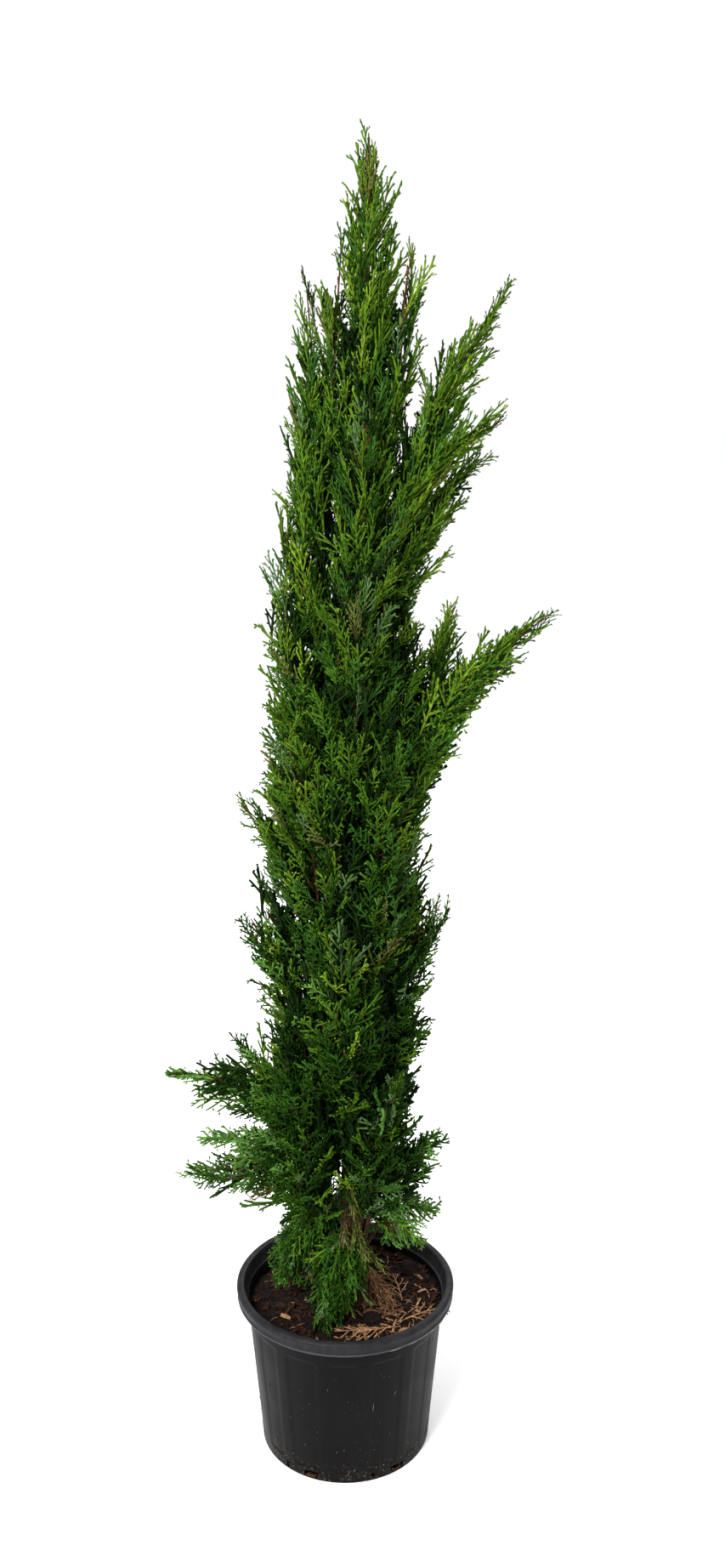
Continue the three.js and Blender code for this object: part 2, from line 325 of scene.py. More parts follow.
def soil_material():
    look = Look("compost", 0.95, 0.15)
    crumbs = look.noise(170.0, 8.0, rough=0.7)
    wet, damp, dry = (0.0012, 0.0006, 0.0004), (0.0060, 0.0025, 0.0014), (0.026, 0.0105, 0.0052)
    look.join(look.ramp(crumbs, (0.34, wet), (0.54, damp), (0.74, dry)))
    look.bump(crumbs, 0.9, 0.003)
    return look.material


def plastic_material():
    """Black plastic with a rim band paler by painted sheen, a painted highlight at its foot, scuffs, a few
    pale flecks, and dirt along the foot.
    """
    look = Look("pot_plastic", 0.42, 0.055)
    cloud = look.noise(14.0, 5.0)
    colour = look.ramp(cloud, (0.3, (0.0016, 0.0017, 0.0019)), (0.7, (0.0036, 0.0037, 0.0040)))
    # The paler, mottled rim band is painted sheen.
    rim_sheen_mottle = look.noise(60.0, 6.0, (1, 1, 0.5), 0.7)
    rim_tone = look.ramp(rim_sheen_mottle, (0.3, (0.0075, 0.0078, 0.0090)), (0.75, (0.022, 0.022, 0.024)))
    colour = look.mix(look.band((0.2195, 0.2215), (0.3, 0.4)), colour, rim_tone)
    # A thin paler line along the foot of the rim band is a painted highlight on its lower bead.
    rim_edge = look.band((0.2205, 0.2212), (0.2230, 0.2242))
    colour = look.mix(rim_edge, colour, (0.040, 0.040, 0.043))
    scuffs = look.ramp(look.noise(130.0, 8.0, (1, 1, 0.18), 0.75), (0.64, 0.0), (0.78, 0.45))
    colour = look.mix(scuffs, colour, (0.018, 0.018, 0.0175))
    cells = look.node("ShaderNodeTexVoronoi", Scale=95.0)
    flecks = look.ramp(cells.outputs["Distance"], (0.06, 0.9), (0.10, 0.0))
    sparse = look.ramp(look.noise(24.0, 2.0), (0.48, 0.0), (0.58, 1.0))
    colour = look.mix(look.mix(sparse, (0, 0, 0), flecks), colour, (0.15, 0.125, 0.095))
    spots = look.ramp(look.noise(260.0, 6.0, rough=0.75), (0.56, 0.0), (0.66, 1.0))
    near_foot = look.band((-0.001, 0.0), (0.008, 0.034))
    colour = look.mix(look.mix(near_foot, (0, 0, 0), spots), colour, (0.13, 0.085, 0.05))
    look.join(colour)
    look.join(look.ramp(cloud, (0.25, 0.38), (0.75, 0.56)), "Roughness")
    look.bump(look.noise(1400.0, 2.0), 0.12, 0.0004)
    return look.material


# Each tint is a plain green that sprays are dealt, and its odds before place and light change them.
TINTS = {
    "green": ((0.031, 0.080, 0.005), 26),
    "green_warm": ((0.047, 0.098, 0.006), 20),
    "green_cool": ((0.022, 0.066, 0.007), 18),
    "deep": ((0.010, 0.032, 0.002), 12),
    "blue": ((0.050, 0.096, 0.028), 6),
    "lime": ((0.088, 0.150, 0.010), 4),
    "fresh": ((0.064, 0.150, 0.025), 1),
    "olive": ((0.072, 0.082, 0.018), 3),
    "faded": ((0.090, 0.066, 0.028), 0),  # only for the limp cords at the neck
}
DRY_COLOUR = (0.150, 0.078, 0.038)
LITTER_COLOUR = (0.24, 0.130, 0.068)
# The inner and core sprays share this near-black green: painted shade.
INNER_COLOUR = (0.005, 0.015, 0.002)

bark = bark_material("bark", (0.018, 0.009, 0.005), (0.088, 0.043, 0.022))
twig_bark = bark_material("twig_bark", (0.030, 0.012, 0.005), (0.105, 0.046, 0.017), (1, 1, 0.4), 0.1)
compost = soil_material()
plastic = plastic_material()

# ---------- Reading the CAD solids ----------


def corners_of(name):
    return [v.co.copy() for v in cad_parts[name].data.vertices]


def joined_tree(names):
    """One tree for ray casts from the faces of several solids."""
    corners, faces = [], []
    for name in names:
        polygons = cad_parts[name].data.polygons
        faces += [tuple(len(corners) + i for i in p.vertices) for p in polygons]
        corners += corners_of(name)
    return BVHTree.FromPolygons(corners, faces)


def is_inside(tree, point):
    ray = Vector((0.93, 0.31, 0.19)).normalized()
    start, hits = point.copy(), 0
    for _ in range(20):
        hit, _, _, _ = tree.ray_cast(start, ray)
        if hit is None:
            break
        hits += 1
        start = hit + ray * 1e-5
    return hits % 2 == 1


def room(tree, point, direction):
    """How far it is from a point to the surface in a direction."""
    _, _, _, distance = tree.ray_cast(point, direction)
    return distance if distance else 0.0


def ring_centre(tree, centre, axis, count=12):
    """The middle and mean radius of a limb's section, from rays cast across it."""
    side = square_to(axis, Vector((1, 0, 0)))
    hits = []
    for k in range(count):
        hit, _, _, _ = tree.ray_cast(centre, turned(side, axis, FULL_TURN * k / count))
        if hit is not None:
            hits.append(hit)
    if len(hits) < count * 0.7:
        return centre, None
    middle = sum(hits, Vector()) / len(hits)
    return middle, sum((h - middle).length for h in hits) / len(hits)


CROWN = joined_tree(LEAF_NODES)
trunk_tree = joined_tree(["trunk"])
trunk_low, trunk_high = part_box("trunk")
TRUNK_FOOT, TRUNK_TIP = trunk_low.z, trunk_high.z


def trunk_axis():
    """(height, middle, radius) up the trunk, from its own solid."""
    rows = []
    foot_points = [c for c in corners_of("trunk") if c.z < TRUNK_FOOT + 0.001]
    centre = sum(foot_points, Vector()) / len(foot_points)
    for z in np.linspace(TRUNK_FOOT + 0.001, TRUNK_TIP - 0.002, 60):
        centre = Vector((centre.x, centre.y, z))
        for _ in range(2):
            centre, radius = ring_centre(trunk_tree, centre, UP)
        rows.append((z, centre.copy(), radius or rows[-1][2]))
    return rows


TRUNK_ROWS = trunk_axis()
TRUNK_HEIGHTS = [row[0] for row in TRUNK_ROWS]


def trunk_at(z):
    """The trunk's middle and radius at a height."""
    z = min(max(z, TRUNK_HEIGHTS[0]), TRUNK_HEIGHTS[-1])
    k = min(max(int(np.searchsorted(TRUNK_HEIGHTS, z)), 1), len(TRUNK_HEIGHTS) - 1)
    (low, foot, wide), (high, top, narrow) = TRUNK_ROWS[k - 1], TRUNK_ROWS[k]
    t = (z - low) / (high - low)
    return foot.lerp(top, t), wide * (1 - t) + narrow * t


# ---------- Trunk and boughs ----------

BARE_TOP = 0.52  # the trunk shows below this height, so its mesh is fine there


def bark_relief(point, depth):
    """Long shreds of bark: noise drawn out along the limb."""
    coarse = noise.noise(Vector((point.x * 210, point.y * 210, point.z * 16)))
    fine = noise.noise(Vector((point.x * 620, point.y * 620, point.z * 60 + 7)))
    return depth * (coarse + 0.45 * fine)


def trunk_mesh():
    """The trunk's own surface, sampled by rays, with bark relief."""
    sides = 44
    low_part = np.arange(TRUNK_FOOT + 0.0006, BARE_TOP, 0.0022)
    high_part = np.arange(BARE_TOP, TRUNK_TIP - 0.003, 0.02)
    heights = np.concatenate([low_part, high_part])
    verts = []
    for z in heights:
        centre, radius = trunk_at(z)
        centre = Vector((centre.x, centre.y, z))
        for j in range(sides):
            out = polar(1, FULL_TURN * j / sides)
            reach = room(trunk_tree, centre, out) or radius
            relief = bark_relief(centre + out * reach, min(0.0011, reach * 0.09))
            verts.append(centre + out * (reach - 0.0002 + relief))
    foot = trunk_at(heights[0])[0]
    verts += [Vector((foot.x, foot.y, heights[0])), Vector((*trunk_at(TRUNK_TIP)[0][:2], TRUNK_TIP))]
    faces = wall_faces(len(heights), sides) + cone_faces(len(verts) - 2, 0, sides, under=True)
    return verts, faces + cone_faces(len(verts) - 1, (len(heights) - 1) * sides, sides)


def bough_line(name, steps=6):
    """Points and radii along a bough, from the trunk outwards."""
    tree = joined_tree([name])
    corners = corners_of(name)
    low = min(corners, key=lambda c: c.z)
    high = max(corners, key=lambda c: c.z)
    axis = unit(high - low)
    spans = [(c - low).dot(axis) for c in corners]
    length = max(spans)
    rows = []
    for k in range(steps):
        start, end = length * k / steps - 0.004, length * (k + 1) / steps + 0.004
        near = [c for c, s in zip(corners, spans) if start <= s <= end]
        if len(near) < 3:
            continue
        centre = sum(near, Vector()) / len(near)
        if not is_inside(tree, centre):
            continue
        centre, radius = ring_centre(tree, centre, axis)
        if radius:
            rows.append((centre, radius))
    return rows


def bough_mesh(name):
    """A limb with bark relief that starts inside the trunk's bark. Returns its end too."""
    rows = bough_line(name)
    points, radii = [r[0] for r in rows], [r[1] for r in rows]
    root, _ = trunk_at(points[0].z - 0.012)
    points = [root.lerp(points[0], 0.35), *points]
    radii = [radii[0] * 1.15, *radii]
    path = curve_through(points, 9)
    widths = np.interp(np.linspace(0, len(radii) - 1, len(path)), range(len(radii)), radii)
    widths = np.convolve(np.pad(widths, 6, "edge"), np.ones(13) / 13, "valid")

    def relief(k, angle):
        across = polar(1, angle) * widths[k]
        return bark_relief(path[k] + across, min(0.0007, widths[k] * 0.12))

    return tube(path, widths, 16, relief), path[-1]


BOUGH_ENDS = []
wood = Heap()
wood.add(*trunk_mesh())
for bough in [n for n in BARK_NODES if n != "trunk"]:
    limb_parts, limb_end = bough_mesh(bough)
    wood.add(*limb_parts)
    BOUGH_ENDS.append(limb_end)
mesh_piece("trunk_and_boughs", *wood.joined(), bark, "bark", BARK_NODES)

# ---------- Pot ----------

POT = Values(height=0.240, rim=0.150, foot=0.117, wall_top=0.136, wall=0.003, band=0.019, band_width=0.011)
BAND_FOOT = POT.height - POT.band
DRAINS = Values(count=6, low=0.0008, high=0.0125, depth=0.011)
DRAIN_NOTCHES = ((0.021, 247), (0.005, 289))  # the width of each kind, and the turn of the first in degrees
PANELS = Values(count=14, share=0.72, depth=0.0009, top=0.196, low=0.020, edge=0.05)


def wall_radius(z):
    return POT.foot + (POT.wall_top - POT.foot) * (z / BAND_FOOT)


def panel_recess(angle, z):
    """How far the wall is pressed in: wide shallow panels, every second one a little narrower."""
    at = angle / FULL_TURN * PANELS.count
    across = abs(at % 1.0 - 0.5) * 2
    share = PANELS.share * (1.0 if int(at) % 2 else 0.8)
    sideways = smoothstep(share + PANELS.edge, share - PANELS.edge, across)
    arch = PANELS.top - 0.004 * across**4
    upright = smoothstep(arch + 0.002, arch - 0.002, z) * smoothstep(PANELS.low - 0.003, PANELS.low, z)
    return PANELS.depth * sideways * upright


def pot_profile():
    """(radius, height, is it the outer wall) from the middle of the underside round to the inside."""
    under, top = BAND_FOOT, POT.height
    rim, inside = POT.rim, POT.rim - POT.band_width
    step = wall_radius(under) + 0.0022
    floor_z = 0.195  # the soil hides this floor
    foot = [(wall_radius(0) - 0.0022, 0.0), (wall_radius(0) - 0.0005, 0.0006)]
    foot += [(wall_radius(0.0007), DRAINS.low - 0.0001)]
    heights = [DRAINS.low + 0.0001, 0.0025, 0.006, DRAINS.high - 0.0001, DRAINS.high + 0.0001]
    heights += [*np.linspace(0.016, 0.026, 8), *np.linspace(0.034, 0.184, 12)]
    heights += [*np.linspace(0.189, 0.199, 11), 0.206, under - 0.0055]
    wall = foot + [(wall_radius(z), float(z)) for z in heights]
    # The band has a bead at its foot and another at its top, in steps inwards and then up or down.
    low_bead = ((0.0026, 0.0), (0.0012, 0.0006), (0.0009, 0.0022), (0.0019, 0.0034))
    high_bead = ((0.0011, 0.0065), (0.0001, 0.0050), (0.0003, 0.0028), (0.0016, 0.0010), (0.0034, 0.0))
    inner_lip = ((0.0030, 0.0), (0.0012, 0.0006), (0.0002, 0.0020), (0.0, 0.0040))
    band = [(step - 0.0004, under - 0.005), (step, under - 0.0044), (step, under)]
    band += [(rim - inwards, under + up) for inwards, up in low_bead]
    band += [(rim - inwards, top - down) for inwards, down in high_bead]
    within = [(inside + outwards, top - down) for outwards, down in inner_lip]
    within += [(wall_radius(under) - POT.wall, under - 0.004)]
    within += [(wall_radius(z) - POT.wall, z) for z in (0.214, 0.205, 0.196)]
    within += [(0.05, floor_z), (0.0, floor_z)]
    rows = [(0.0, 0.0, False), (0.1, 0.0, False)]
    return rows + [(r, z, True) for r, z in wall] + [(r, z, False) for r, z in band + within]


def drain_angles():
    """The start and end angle of each drain notch in the foot."""
    for i in range(DRAINS.count):
        for width, turn in DRAIN_NOTCHES:
            middle = radians(turn + 360 / DRAINS.count * i) % FULL_TURN
            half = width / 2 / POT.foot
            yield middle - half, middle + half


def pot_mesh():
    notches = list(drain_angles())
    sharp = [a + d for pair in notches for a in pair for d in (-0.0004, 0.0004)]
    even = np.linspace(0, FULL_TURN, 241)[:-1]
    angles = sorted({round(a % FULL_TURN, 5) for a in [*even, *sharp]})
    profile = pot_profile()
    verts, faces = [], []
    for radius, z, outer in profile:
        for angle in angles:
            reach = radius - (panel_recess(angle, z) if outer else 0.0)
            in_notch = any(low < (angle - low) % FULL_TURN + low < high for low, high in notches)
            if in_notch and DRAINS.low < z < DRAINS.high:
                reach = min(reach, POT.foot - DRAINS.depth)
            verts.append((reach * cos(angle), reach * sin(angle), z))
    around = len(angles)
    for k in range(len(profile) - 1):
        for j in range(around):
            a, b = k * around + j, k * around + (j + 1) % around
            faces.append((a, b, b + around, a + around))
    return verts, faces


def scratch(heap, turn, z, length, width, lean):
    """A pale nick in the wall: a sliver that stands a hair proud of it."""
    out = polar(1, turn)
    centre = out * (wall_radius(z) + 0.0001) + UP * z
    ahead = unit(UP * cos(lean) + out.cross(UP) * sin(lean))
    side = ahead.cross(out)
    ends = [centre - ahead * length / 2, centre + side * width / 2]
    ends += [centre + ahead * length / 2, centre - side * width / 2]
    rows = [*[e - out * 0.0006 for e in ends], *[e + out * 0.0001 for e in ends]]
    heap.add(rows, [(0, 2, 1), (0, 3, 2), (4, 5, 6), (4, 6, 7), *wall_faces(2, 4)])


pot = mesh_piece("pot_shell", *pot_mesh(), plastic, "pot", ["pot"])
pot.data.set_sharp_from_angle(angle=radians(34))

# Scuffs all over the wall, most of them short and low, and short nicks round the foot.
WALL_SCUFFS = Values(count=130, low=0.03, rise=0.17, shortest=0.0014, longer=0.013, width=(0.0004, 0.0009))
FOOT_NICKS = Values(count=110, heights=(0.004, 0.026), length=(0.001, 0.0022), width=0.001)
scratches = Heap()
for _ in range(WALL_SCUFFS.count):
    z = WALL_SCUFFS.low + WALL_SCUFFS.rise * rng.random() ** 1.5
    length = WALL_SCUFFS.shortest + WALL_SCUFFS.longer * rng.random() ** 7
    scratch(scratches, any_turn(), z, length, spread(*WALL_SCUFFS.width), rng.normal(0, 0.4))
for _ in range(FOOT_NICKS.count):
    turn, z, length = any_turn(), spread(*FOOT_NICKS.heights), spread(*FOOT_NICKS.length)
    scratch(scratches, turn, z, length, FOOT_NICKS.width, spread(0, 3))
scuff = bark_material("pot_scuffs", (0.03, 0.027, 0.024), (0.17, 0.15, 0.125), EVEN, 0.0)
mesh_piece("pot_scratches", *scratches.joined(), scuff, "pot", smooth=False)

# A line of pale dust lies in the corner under the rim band, at the front right.
DUST_LINE = Values(turns=(-66, -26), radius=POT.rim - 0.0022, thick=0.0013)
dust_turns = np.radians(np.linspace(*DUST_LINE.turns, 60))
dust_path = [polar(1, t) * DUST_LINE.radius + UP * BAND_FOOT for t in dust_turns]
dust_radii = [DUST_LINE.thick * (0.3 + 1.4 * abs(noise.noise(p * 60))) for p in dust_path]
dust = bark_material("dust", (0.22, 0.17, 0.12), (0.52, 0.42, 0.32), EVEN, 0.0)
mesh_piece("rim_dust", *tube(dust_path, dust_radii, 5), dust, "pot")

# ---------- Soil and what lies on it ----------

SOIL_TOP = 0.208
SOIL_EDGE = wall_radius(SOIL_TOP) - POT.wall


def soil_height(x, y):
    """Clods, a slight rise towards the stem, and a heap against the wall at the right."""
    r = hypot(x, y) / SOIL_EDGE
    clods = noise.noise(Vector((x * 34, y * 34, 1))) * 0.0050
    clods += noise.noise(Vector((x * 95, y * 95, 2))) * 0.0030
    crumbs = noise.noise(Vector((x * 330, y * 330, 3))) * 0.0013
    heap = 0.009 * smoothstep(0.03, 0.12, x) * smoothstep(-0.05, 0.06, y)
    return SOIL_TOP + clods + crumbs + heap + 0.002 * (1 - r) - 0.003 * smoothstep(0.93, 1.0, r)


def soil_mesh():
    rings, around = 72, 216
    verts = [(0.0, 0.0, soil_height(0, 0))]
    for k in range(1, rings + 1):
        radius = SOIL_EDGE * k / rings
        for j in range(around):
            angle = FULL_TURN * j / around
            x, y = radius * cos(angle), radius * sin(angle)
            verts.append((x, y, soil_height(x, y)))
    return verts, cone_faces(0, 1, around) + [face[::-1] for face in wall_faces(rings, around, 1)]


def on_soil(lift, spot, wander):
    """A place on the soil, anywhere or round a spot, clear of the stem and the wall."""
    while True:
        if spot:
            x, y = spot[0] + rng.normal(0, wander), spot[1] + rng.normal(0, wander)
        else:
            radius, angle = SOIL_EDGE * sqrt(spread(0.02, 1)), any_turn()
            x, y = radius * cos(angle), radius * sin(angle)
        if 0.022 < hypot(x, y) < SOIL_EDGE - 0.006:
            return Vector((x, y, soil_height(x, y) + lift))


def shard(heap, centre, length, width, thick):
    """A chip of bark: a bent, tapered box lying at a tilt."""
    turn = Matrix.Rotation(any_turn(), 3, "Z") @ Matrix.Rotation(rng.normal(0, 0.35), 3, "Y")
    turn = turn @ Matrix.Rotation(rng.normal(0, 0.5), 3, "X")
    rows = []
    for along_x, size in ((-0.5, spread(0.35, 0.9)), (spread(-0.1, 0.1), 1.0), (0.5, spread(0.2, 0.8))):
        lift = 0.12 * length * (1 - 4 * along_x * along_x)
        for y, z in ((-0.5, -0.5), (0.5, -0.5), (0.5, 0.5), (-0.5, 0.5)):
            corner = Vector((along_x * length, y * width * size, z * thick * size + lift))
            rows.append(centre + turn @ corner)
    heap.add(rows, [(0, 2, 1), (0, 3, 2), (8, 9, 10), (8, 10, 11), *wall_faces(3, 4)])


def clod(heap, centre, radius):
    """A lump of compost: a flattened sphere of rings pushed about by noise."""
    rings, around = 6, 9
    rows = [centre - UP * radius * 0.7]
    for k in range(1, rings):
        tilt = pi * k / rings
        for j in range(around):
            out = polar(sin(tilt), FULL_TURN * j / around, -0.75 * cos(tilt))
            rough = 1 + 0.35 * noise.noise((centre + out * radius) * (1.6 / radius))
            rows.append(centre + out * radius * rough)
    rows.append(centre + UP * radius * 0.75)
    caps = cone_faces(0, 1, around, under=True) + cone_faces(len(rows) - 1, len(rows) - 1 - around, around)
    heap.add(rows, caps + wall_faces(rings - 1, around, 1))


def fibre(heap, centre, length, radius):
    """A thin root or thread that lies in a loose curve."""
    heading = any_turn()
    bend = spread(-2.2, 2.2)
    point, path = centre.copy(), [centre.copy()]
    for _ in range(6):
        heading += bend / 6 + rng.normal(0, 0.15)
        point = point + polar(1, heading) * (length / 6)
        if hypot(point.x, point.y) > SOIL_EDGE - 0.004:
            break
        point.z = soil_height(point.x, point.y) + spread(0.0006, 0.0045)
        path.append(point.copy())
    if len(path) > 2:
        heap.add(*tube(path, [radius] * len(path), 4))


def strew(make, heap, count, lift, sizes, spot=None, wander=0.03):
    """Makes so many of a thing on the soil. A size is a number, or a (low, high) pair to draw from."""
    for _ in range(count):
        place = on_soil(lift, spot, wander)
        make(heap, place, *[spread(*size) if isinstance(size, tuple) else size for size in sizes])


# Crumbs of soil in the drain notches.
DIRT = Values(per_radian=160, clear=0.01, inwards=(0.0015, 0.007), radius=(0.0009, 0.0018))
drain_dirt = Heap()
for low, high in drain_angles():
    for _ in range(int(DIRT.per_radian * (high - low))):
        turn = spread(low + DIRT.clear, high - DIRT.clear)
        out = POT.foot - spread(*DIRT.inwards)
        size = spread(*DIRT.radius)
        clod(drain_dirt, polar(out, turn, DRAINS.low + size * 0.5), size)
dirt_material = bark_material("drain_dirt", (0.022, 0.010, 0.006), (0.095, 0.048, 0.030), EVEN, 0.1)
mesh_piece("drain_dirt", *drain_dirt.joined(), dirt_material, "soil", smooth=False)
chip_material = bark_material("bark_chips", (0.004, 0.0018, 0.0011), (0.044, 0.0175, 0.0088), EVEN, 0.08)
pale_material = bark_material("pale_litter", (0.095, 0.046, 0.022), (0.36, 0.20, 0.105), EVEN, 0.2)
mesh_piece("soil_bed", *soil_mesh(), compost, "soil", ["soil"])

LITTER_SPOT = (0.060, -0.030)  # where most of the dry litter lies, right of the stem and to the front
HERE = 0.001  # the wander of a single thing that has a place of its own
chips, pale, clods, litter = Heap(), Heap(), Heap(), Heap()
strew(shard, chips, 520, 0.0012, [(0.005, 0.021), (0.0015, 0.0055), (0.0006, 0.0020)])
strew(shard, pale, 48, 0.0022, [(0.008, 0.022), (0.0014, 0.0042), 0.0008], LITTER_SPOT, 0.032)
strew(shard, pale, 22, 0.0018, [(0.005, 0.012), (0.001, 0.003), 0.0008])
strew(shard, pale, 1, 0.006, [0.014, 0.006, 0.0012], (-0.081, -0.054), HERE)
strew(clod, clods, 170, 0.0, [(0.0018, 0.0075)])
strew(clod, clods, 1, 0.004, [0.0135], (0.038, -0.062), HERE)
strew(clod, clods, 1, 0.002, [0.014], (0.092, 0.05), HERE)
strew(fibre, litter, 40, 0.001, [(0.022, 0.06), (0.0004, 0.0009)], LITTER_SPOT, 0.034)
strew(fibre, litter, 30, 0.001, [(0.012, 0.04), (0.0003, 0.0005)])
mesh_piece("bark_chips", *chips.joined(), chip_material, "soil", smooth=False)
mesh_piece("pale_chips", *pale.joined(), pale_material, "soil", smooth=False)
mesh_piece("clods", *clods.joined(), compost, "soil", smooth=False)
mesh_piece("litter_fibres", *litter.joined(), pale_material, "soil")

# ---------- Sprays ----------


def three_round(axis):
    """Three unit directions square to axis, a third of a turn apart, from a turn drawn by chance."""
    side = square_to(axis, Vector((rng.normal(), rng.normal(), rng.normal())))
    other = axis.cross(side)
    turns = [FULL_TURN * k / 3 for k in range(3)]
    return [side * cos(a) + other * sin(a) for a in turns]


def bud(heap, base, axis, length, radius):
    """A short shoot of three sides that widens to a blunt, slanting end."""
    rows = [base]
    for k, out in enumerate(three_round(axis)):
        rows.append(base + axis * length * (1.0 - 0.1 * k) + out * radius)
    heap.add(rows, [*cone_faces(0, 1, 3, under=True), (1, 2, 3)])


def shoot(heap, base, axis, length, radius, lift):
    """A longer shoot with a blunt tip that curves by lift as it grows. Its open end is inside its parent."""
    shares = (0.0, 0.9) if length < 17 else (0.0, 0.48, 0.93)
    outs = three_round(axis)
    rows = []
    for share in shares:
        middle = base + axis * length * share + lift * (length * share * share)
        rows += [middle + out * radius * (1.0 - 0.12 * share) for out in outs]
    rows.append(base + axis * length + lift * length)
    end = len(rows) - 1
    heap.add(rows, wall_faces(len(shares), 3) + cone_faces(end, end - 3, 3))


# How each kind of spray branches, in millimetres and degrees: the length of its axis, the gap between side
# shoots and their angle to it, how long they are near its foot and near its tip, the gap between the buds
# on them, the buds' length and tilt, how far shoots roll out of the plane, and the radius of a shoot.
Spray = namedtuple("Spray", "axis gap angle side buds bud tilt roll radius")
SPRAYS = {
    "cord": Spray(84, 6.4, 25, (36, 10), 8.6, (8, 12), 25, 50, 1.3),
    "tuft": Spray(62, 5.6, 43, (25, 9), 5.6, (5, 9), 44, 50, 1.35),
    "fan": Spray(62, 5.8, 45, (27, 9), 5.4, (5, 9), 46, 14, 1.5),
    "inner": Spray(70, 9.0, 38, (28, 16), 12, (9, 13), 38, 60, 2.3),
    "dry": Spray(60, 7.0, 26, (32, 14), 12, (8, 12), 22, 40, 1.0),
    "litter": Spray(52, 6.5, 44, (26, 10), 7, (5, 9), 42, 18, 1.0),
}
VARIANTS = 10


def side_shoot(heap, rule, base, axis, reach, lift):
    """A shoot with buds on its two sides in turn."""
    shoot(heap, base, axis, reach, rule.radius, lift)
    at, hand = rule.buds * 0.9, 1 if rng.random() < 0.5 else -1
    while at < reach - 2.5:
        t = at / reach
        foot = base + axis * at + lift * (reach * t * t)
        tilt = radians(rule.tilt + spread(-10, 10))
        side = turned(square_to(axis, UP), axis, spread(-0.6, 0.6)) * hand
        lean = unit(axis * cos(tilt) + side * sin(tilt))
        bud(heap, foot, lean, spread(*rule.bud) * (1.0 - 0.25 * t), rule.radius)
        at += rule.buds * spread(0.75, 1.2)
        hand = -hand


def spray_template(kind):
    """One spray along +Z, flat in the XZ plane, in millimetres."""
    rule = SPRAYS[kind]
    length = rule.axis
    heap = Heap()
    bend = Vector((spread(-0.14, 0.14), spread(-0.1, 0.1), 0))
    axis_path = [UP * (length * s) + bend * (length * s * s) for s in np.linspace(0, 1, 5)]
    heap.add(*tube(axis_path, [rule.radius * w for w in (1.1, 1.1, 1.05, 1.0, 0.9)], 3))
    at, hand = rule.gap * 1.3, 1
    long, short = rule.side
    while at < length - 4:
        share = at / length
        base, ahead = along(axis_path, share)
        roll = radians(spread(-rule.roll, rule.roll))
        out = turned(Vector((hand, 0, 0)), UP, roll)
        angle = radians(rule.angle + spread(-8, 8))
        axis = unit(ahead * cos(angle) + square_to(ahead, out) * sin(angle))
        reach = (long + (short - long) * share**1.1) * spread(0.7, 1.2)
        reach *= smoothstep(-0.15, 0.18, share)
        lift = Vector((0, -0.35, -0.45)) if kind == "dry" else Vector((0, spread(-0.25, 0.15), 0.22))
        side_shoot(heap, rule, base, axis, reach, lift)
        at += rule.gap * spread(0.8, 1.2)
        hand = -hand
    return heap.joined()


TEMPLATES = {kind: [spray_template(kind) for _ in range(VARIANTS)] for kind in SPRAYS}
leaf_heaps = {tint: Heap() for tint in TINTS}
inner_heap, dry_heap, litter_heap, twig_heap = Heap(), Heap(), Heap(), Heap()


def place_spray(kind, heap, base, axis, face, length, curl=0.0, sag=0.0):
    """Puts a spray at base along axis, its flat side towards face. It curls in its own plane, and sags."""
    verts, faces = TEMPLATES[kind][int(rng.integers(VARIANTS))]
    normal = square_to(axis, face)
    side = normal.cross(axis)
    local = verts * (length / SPRAYS[kind].axis)
    t = local[:, 2:3] / length
    local[:, 0:1] += curl * length * t * t
    if rng.random() < 0.5:
        side = -side
    placed = local @ np.array([side, normal, axis], float) + np.array(tuple(base))
    placed[:, 2:3] -= sag * length * t * t
    heap.add(placed, faces)


def add_twig(path, thick, thin, sides=4):
    twig_heap.add(*tube(path, np.linspace(thick, thin, len(path)), sides))


# ---------- Growing the masses ----------

# How each style of mass grows, in metres and degrees. gap and angle set the branches on its limb, and
# reach how much of the room they take. spacing is the distance between sprays over its surface; length,
# out and poke are their length, their angle to the limb, and how far past the surface they end. sag is
# how far they hang, and tips how many stand at the very end.
Style = namedtuple("Style", "gap angle reach spacing length out poke sag tips")
STYLES = {
    "plume": Style(0.026, (14, 28), (0.4, 0.8), 0.0150, (0.058, 0.094), (6, 28), (-0.004, 0.013), -0.05, 2),
    "body": Style(0.026, (24, 42), (0.4, 0.75), 0.0180, (0.046, 0.076), (10, 40), (-0.008, 0.013), -0.05, 0),
    "tuft": Style(0.022, (25, 45), (0.4, 0.75), 0.0165, (0.040, 0.066), (15, 45), (-0.004, 0.010), -0.05, 2),
    "fan": Style(0.020, (28, 45), (0.4, 0.75), 0.0165, (0.046, 0.076), (12, 48), (-0.002, 0.014), 0.06, 3),
    "skirt": Style(0.022, (20, 40), (0.4, 0.75), 0.0115, (0.038, 0.060), (10, 55), (-0.004, 0.008), 0.22, 0),
    "dry": Style(0.020, (20, 40), (0.4, 0.75), 0.0130, (0.038, 0.062), (5, 40), (-0.004, 0.004), 0.3, 0),
}
GOLDEN_TURN = radians(137.5)
KEPT_AT = (0.12, 1.0)  # the share of sprays kept where other masses cover the surface, and in the open
BARE_SPOTS = Values(clump=-0.36, share=0.7)  # noise below clump thins the body there by share
NECK = Values(top=0.42, middle=0.012, half=0.032, thinning=0.75)  # where the stems show below the crown
TOP_THINNING = 0.26  # the share of sprays left out near the top, where the plumes are airy
ROOM_ROUND = 0.012  # how far a spray may end outside the box of the CAD model
POT_MOUTH = 0.126  # sprays that hang below the rim stay inside this radius


def mass_style(name):
    starts = [style for style in ("fan", "skirt", "dry", "body") if name.startswith(style)]
    return starts[0] if starts else "tuft" if name.endswith("tuft") else "plume"


def off_axis(point):
    """How far a point is from the trunk's middle, and the level direction out to it."""
    middle, _ = trunk_at(point.z)
    away = Vector((point.x - middle.x, point.y - middle.y, 0))
    return away.length, unit(away)


